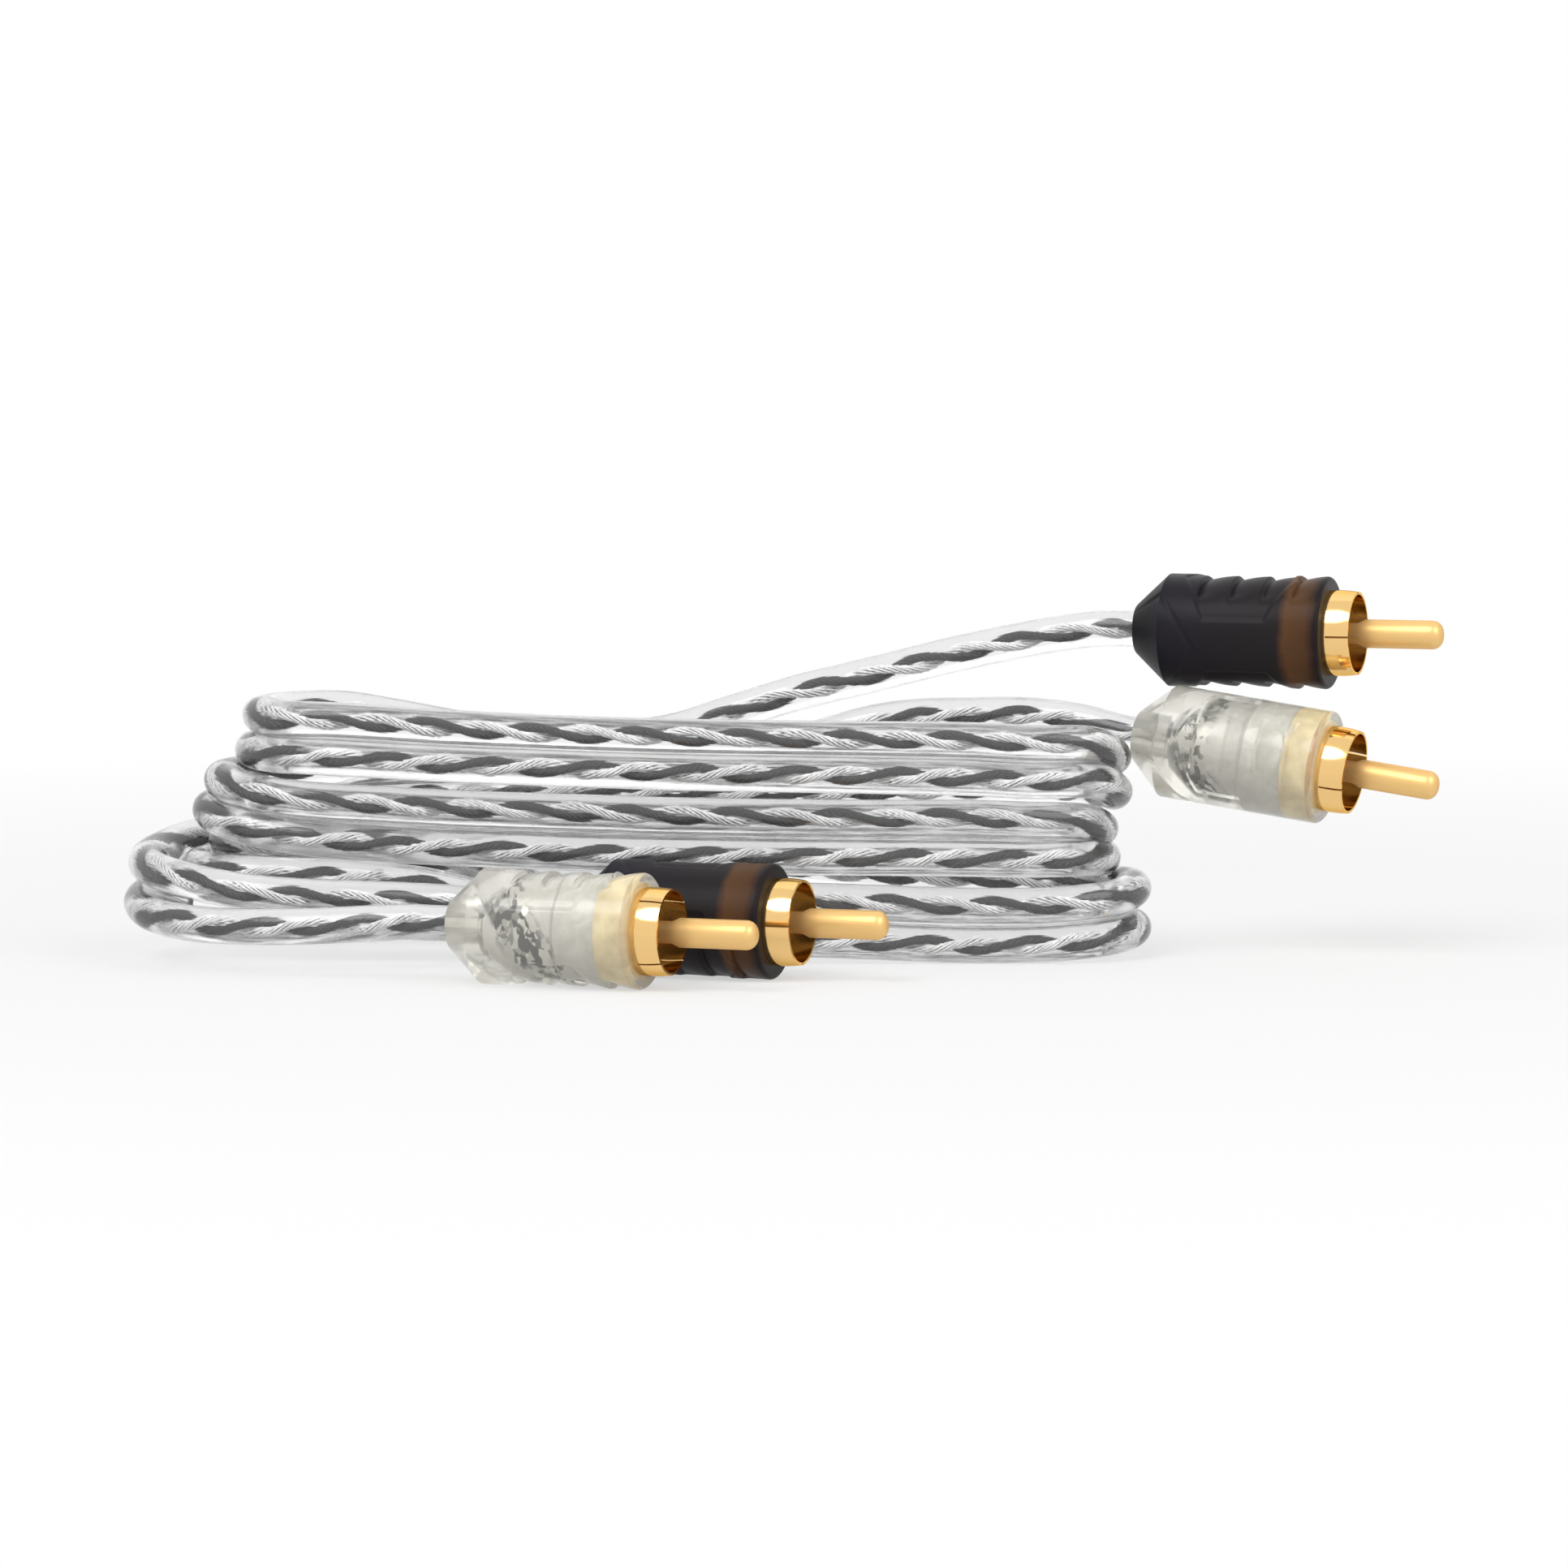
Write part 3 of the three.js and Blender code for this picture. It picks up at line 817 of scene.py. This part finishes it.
def pin_mesh(name):
    """The centre contact, thinner where the collar hides it, with a rounded tip."""
    corner = (PIN_RADIUS - PIN_TIP_RADIUS, PIN_TIP - PIN_TIP_RADIUS)
    profile = [
        (0, PIN_TAIL), (PIN_RADIUS, PIN_TAIL), (PIN_RADIUS, PIN_NECK_START),
        (PIN_NECK_RADIUS, PIN_NECK_START), (PIN_NECK_RADIUS, COLLAR_RIM),
        (PIN_RADIUS, PIN_SHOULDER),
        *arc(corner, PIN_TIP_RADIUS, 0, 90, 10), (0, PIN_TIP),
    ]
    return smooth_shaded(lathe(name, profile, PIN_SEGMENTS), 25)


# Colours of the smoke moulding at shares of its length, and how much they wander along it
SMOKE_TINTS = (
    (0.1, (0.004, 0.0035, 0.005)),
    (0.2, (0.013, 0.0115, 0.0165)),
    (0.79, (0.015, 0.012, 0.013)),
    (0.83, (0.092, 0.042, 0.017)),
    (0.93, (0.075, 0.034, 0.0145)),
    (0.985, (0.012, 0.008, 0.009)),
)
AMBER_UNEVEN = 0.0012


def smoke_material():
    """Smoke-black satin moulding, amber where the gold flange shows through."""
    n = Nodes("smoke_mould")
    where = n.add("ShaderNodeTexCoord")
    parts = n.add("ShaderNodeSeparateXYZ", {0: where.outputs["Object"]})
    uneven = n.add("ShaderNodeTexNoise", {
        "Vector": where.outputs["Object"], "Scale": 420.0, "Detail": 3.0,
    })
    moved = n.add("ShaderNodeMath", {
        0: uneven.outputs["Fac"], 1: AMBER_UNEVEN, 2: parts.outputs[0],
    }, operation="MULTIPLY_ADD")
    along = n.add("ShaderNodeMapRange", {
        "Value": moved.outputs[0],
        "From Min": AMBER_UNEVEN / 2, "From Max": BODY_LENGTH + AMBER_UNEVEN / 2,
    })
    tint = n.ramp(along.outputs[0], SMOKE_TINTS)
    mottle = n.add("ShaderNodeTexNoise", {
        "Vector": where.outputs["Object"], "Scale": 260.0, "Detail": 4.0,
    })
    rough = n.add("ShaderNodeMapRange", {
        "Value": mottle.outputs["Fac"], "To Min": 0.32, "To Max": 0.5,
    })
    bump = n.add("ShaderNodeBump", {
        "Height": mottle.outputs["Fac"], "Strength": 0.12, "Distance": 0.0002,
    })
    n.set(
        Base_Color=tint, Roughness=rough.outputs[0], Specular_IOR_Level=0.11,
        Normal=bump.outputs[0],
    )
    return n.material


def clear_mould_material():
    """Frosted clear moulding."""
    n = Nodes("clear_mould")
    where = n.add("ShaderNodeTexCoord")
    mottle = n.add("ShaderNodeTexNoise", {
        "Vector": where.outputs["Object"], "Scale": 300.0, "Detail": 5.0,
    })
    rough = n.add("ShaderNodeMapRange", {
        "Value": mottle.outputs["Fac"], "To Min": 0.12, "To Max": 0.23,
    })
    bump = n.add("ShaderNodeBump", {
        "Height": mottle.outputs["Fac"], "Strength": 0.2, "Distance": 0.0002,
    })
    n.set(
        Base_Color=(0.90, 0.885, 0.82, 1), Roughness=rough.outputs[0], IOR=1.45,
        Transmission_Weight=0.83, Normal=bump.outputs[0],
    )
    n.let_lamps_through((0.8, 0.8, 0.76))
    return n.material


# Slanting band where the clear moulding has come away: its middle, half width and slope
PATCH_MIDDLE = 0.0092
PATCH_HALF_WIDTH = 0.0019
PATCH_SLANT = 0.8


def core_mould_material():
    """Pale plastic, with patches where the clear moulding has come away and looks silver."""
    n = Nodes("core_mould")
    where = n.add("ShaderNodeTexCoord")
    parts = n.add("ShaderNodeSeparateXYZ", {0: where.outputs["Object"]})
    slant = n.add("ShaderNodeMath", {
        0: parts.outputs[2], 1: PATCH_SLANT, 2: parts.outputs[0],
    }, operation="MULTIPLY_ADD")
    off = n.add("ShaderNodeMath", {0: slant.outputs[0], 1: PATCH_MIDDLE}, operation="SUBTRACT")
    off = n.add("ShaderNodeMath", {0: off.outputs[0]}, operation="ABSOLUTE")
    behind = n.add("ShaderNodeMapRange", {
        "Value": off.outputs[0], "From Min": PATCH_HALF_WIDTH, "From Max": 2 * PATCH_HALF_WIDTH,
        "To Min": 1.0, "To Max": 0.0,
    })
    patches = n.add("ShaderNodeTexNoise", {
        "Vector": where.outputs["Object"], "Scale": 390.0, "Detail": 6.0, "Roughness": 0.62,
        "Distortion": 0.8,
    })
    away = n.add("ShaderNodeMapRange", {
        "Value": patches.outputs["Fac"], "From Min": 0.45, "From Max": 0.475,
    })
    mask = n.add("ShaderNodeMath", {0: away.outputs[0], 1: behind.outputs[0]}, operation="MULTIPLY")
    crystals = n.add("ShaderNodeTexVoronoi", {
        "Vector": where.outputs["Object"], "Scale": 1500.0,
    })
    silver = n.ramp(
        crystals.outputs["Color"], [(0.42, (0.003, 0.003, 0.004)), (0.66, (0.62, 0.61, 0.58))]
    )
    pale = n.ramp(
        patches.outputs["Fac"], [(0.3, (0.42, 0.41, 0.38)), (0.7, (0.61, 0.605, 0.59))]
    )
    colour = n.add("ShaderNodeMix", {
        "Factor": mask.outputs[0], 6: pale, 7: silver,
    }, data_type="RGBA")
    n.set(Base_Color=colour.outputs[2], Roughness=0.35, Metallic=mask.outputs[0])
    bump = n.add("ShaderNodeBump", {
        "Height": patches.outputs["Fac"], "Strength": 0.4, "Distance": 0.0003,
    })
    n.set(Normal=bump.outputs[0])
    return n.material


def gold_material(name, colour, edge, roughness, streaks_scale, metallic=1.0):
    """Plated metal with fine turning marks."""
    n = Nodes(name)
    where = n.add("ShaderNodeTexCoord")
    lines = n.add("ShaderNodeMapping", {"Vector": where.outputs["Object"], "Scale": streaks_scale})
    marks = n.add("ShaderNodeTexNoise", {"Vector": lines.outputs[0], "Scale": 1.0, "Detail": 4.0})
    rough = n.add("ShaderNodeMapRange", {
        "Value": marks.outputs["Fac"], "To Min": roughness * 0.8, "To Max": roughness * 1.3,
    })
    bump = n.add("ShaderNodeBump", {
        "Height": marks.outputs["Fac"], "Strength": 0.08, "Distance": 0.0001,
    })
    n.set(
        Base_Color=(*colour, 1), Metallic=metallic, Roughness=rough.outputs[0],
        Specular_Tint=(*edge, 1), Normal=bump.outputs[0],
    )
    return n.material


materials.update({
    "smoke": smoke_material(),
    "clear": clear_mould_material(),
    "collar": gold_material(
        "polished_gold", (0.88, 0.58, 0.24), (0.9, 0.7, 0.4), 0.11, (900, 900, 900),
    ),
    "flange": plain_noise_material(
        "frosted_gold", (0.52, 0.41, 0.20), (0.80, 0.68, 0.40), 0.5, 420,
    ),
    "pin": gold_material(
        "satin_gold", (0.84, 0.55, 0.22), (0.72, 0.44, 0.18), 0.36, (200, 3000, 3000),
        metallic=0.5,
    ),
    "core_mould": core_mould_material(),
    "insulator": plain_noise_material(
        "insulator", (0.02, 0.014, 0.008), (0.04, 0.03, 0.018), 0.45, 500,
    ),
})

# CAD solids inside the plugs that stay, with their materials
MOULDED_IN = {
    "insulator": "insulator",
    "signal_core": "dark_conductor",
    "ground_core": "bright_conductor",
}

for name in PLUGS:
    tint = name.split("_")[1]
    made = (
        ("grip", grip_mesh(f"{name}_grip"), tint, f"{tint}_mould", "body"),
        ("collar", collar_mesh(f"{name}_collar", SLOT_TURNS[name]), "collar", "gold_plate",
         "ground_shell"),
        ("contact", pin_mesh(f"{name}_contact"), "pin", "gold_plate", "pin"),
        ("core_mould", core_mesh(f"{name}_core_mould"), "core_mould", "inner_mould", "inner_mould"),
    )
    for piece_name, mesh, finish, slot, node in made:
        piece = new_piece(f"{name}_{piece_name}", mesh, materials[finish])
        piece.matrix_world = plug_places[name]
        if piece_name == "collar":
            a_hair = 1e-6
            mesh.materials.append(materials["flange"])
            for face in mesh.polygons:
                face.material_index = int(face.center.x < FLANGE[1] + a_hair)
        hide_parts(f"{name}_{node}")
    for part, finish in MOULDED_IN.items():
        for holder in frame["nodes"][f"{name}_{part}"].material_slots:
            holder.material = materials[finish]


# Floor, backdrop and light

# How white the floor is by itself near the object, and between which distances that rises to full
FLOOR_WHITE_NEAR = 0.55
FLOOR_WHITE_RISES = (0.12, 0.30)


def floor_material():
    """White to the camera and in reflections, with the object's shadow kept close to it."""
    n = Nodes("floor")
    n.set(Base_Color=(0.8, 0.8, 0.8, 1), Roughness=0.9)
    where = n.add("ShaderNodeTexCoord")
    away = n.add("ShaderNodeVectorMath", {0: where.outputs["Object"]}, operation="LENGTH")
    far = n.add("ShaderNodeMapRange", {
        "Value": away.outputs["Value"],
        "From Min": FLOOR_WHITE_RISES[0], "From Max": FLOOR_WHITE_RISES[1],
        "To Min": FLOOR_WHITE_NEAR, "To Max": 1.0,
    })
    path = n.add("ShaderNodeLightPath")
    seen = n.add("ShaderNodeMath", {
        0: path.outputs["Is Camera Ray"], 1: path.outputs["Is Glossy Ray"],
    }, operation="MAXIMUM")
    seen = n.add("ShaderNodeMath", {
        0: seen.outputs[0], 1: path.outputs["Is Transmission Ray"],
    }, operation="MAXIMUM")
    share = n.add("ShaderNodeMath", {0: seen.outputs[0], 1: far.outputs[0]}, operation="MULTIPLY")
    white = n.add("ShaderNodeEmission", {"Color": (1, 1, 1, 1), "Strength": 1.0})
    mix = n.add("ShaderNodeMixShader", {
        0: share.outputs[0], 1: n.shader.outputs[0], 2: white.outputs[0],
    })
    n.tree.links.new(mix.outputs[0], n.output.inputs[0])
    return n.material


def add_floor():
    """A pale floor that turns up into a backdrop, in one curved sheet."""
    near, far, height, half, bend, steps = -1.2, 1.6, 1.6, 2.5, 0.4, 12
    profile = [(near, 0.0)]
    for i in range(steps + 1):
        angle = math.pi / 2 * i / steps
        profile.append((far - bend + bend * math.sin(angle), bend - bend * math.cos(angle)))
    profile.append((far, height))
    verts = [(x, y, z) for y, z in profile for x in (-half, half)]
    faces = [(2 * i, 2 * i + 1, 2 * i + 3, 2 * i + 2) for i in range(len(profile) - 1)]
    mesh = bpy.data.meshes.new("floor")
    mesh.from_pydata(verts, [], faces)
    mesh.shade_smooth()
    floor = bpy.data.objects.new("floor", mesh)
    bpy.context.scene.collection.objects.link(floor)
    mesh.materials.append(floor_material())


def add_lamp(name, place, size, power):
    """A round soft lamp that points at the camera's target."""
    lamp = bpy.data.lights.new(name, "AREA")
    lamp.shape = "DISK"
    lamp.size = size
    lamp.energy = power
    holder = bpy.data.objects.new(name, lamp)
    holder.location = place
    holder.rotation_euler = (CAMERA_TARGET - Vector(place)).to_track_quat("-Z", "Y").to_euler()
    bpy.context.scene.collection.objects.link(holder)


add_floor()
add_lamp("key_lamp", (-0.5, -0.7, 1.0), 0.8, 8.0)
add_lamp("fill_lamp", (0.7, -0.6, 0.7), 0.8, 5.0)
add_lamp("back_lamp", (0.1, 0.8, 0.9), 1.4, 1.2)

WORLD_LIGHT = 0.5


def white_world():
    """White to the camera, in reflections and through glass, and a soft light for the rest."""
    world = bpy.data.worlds.new("world")
    world.use_nodes = True
    tree = world.node_tree
    shader = tree.nodes["Background"]
    shader.inputs[0].default_value = (1, 1, 1, 1)
    path = tree.nodes.new("ShaderNodeLightPath")
    seen = path.outputs["Is Camera Ray"]
    for kind in ("Is Glossy Ray", "Is Transmission Ray"):
        either = tree.nodes.new("ShaderNodeMath")
        either.operation = "MAXIMUM"
        tree.links.new(seen, either.inputs[0])
        tree.links.new(path.outputs[kind], either.inputs[1])
        seen = either.outputs[0]
    strength = tree.nodes.new("ShaderNodeMapRange")
    tree.links.new(seen, strength.inputs["Value"])
    strength.inputs["To Min"].default_value = WORLD_LIGHT
    tree.links.new(strength.outputs[0], shader.inputs[1])
    return world


bpy.context.scene.world = white_world()
bpy.context.scene.view_settings.view_transform = "Standard"
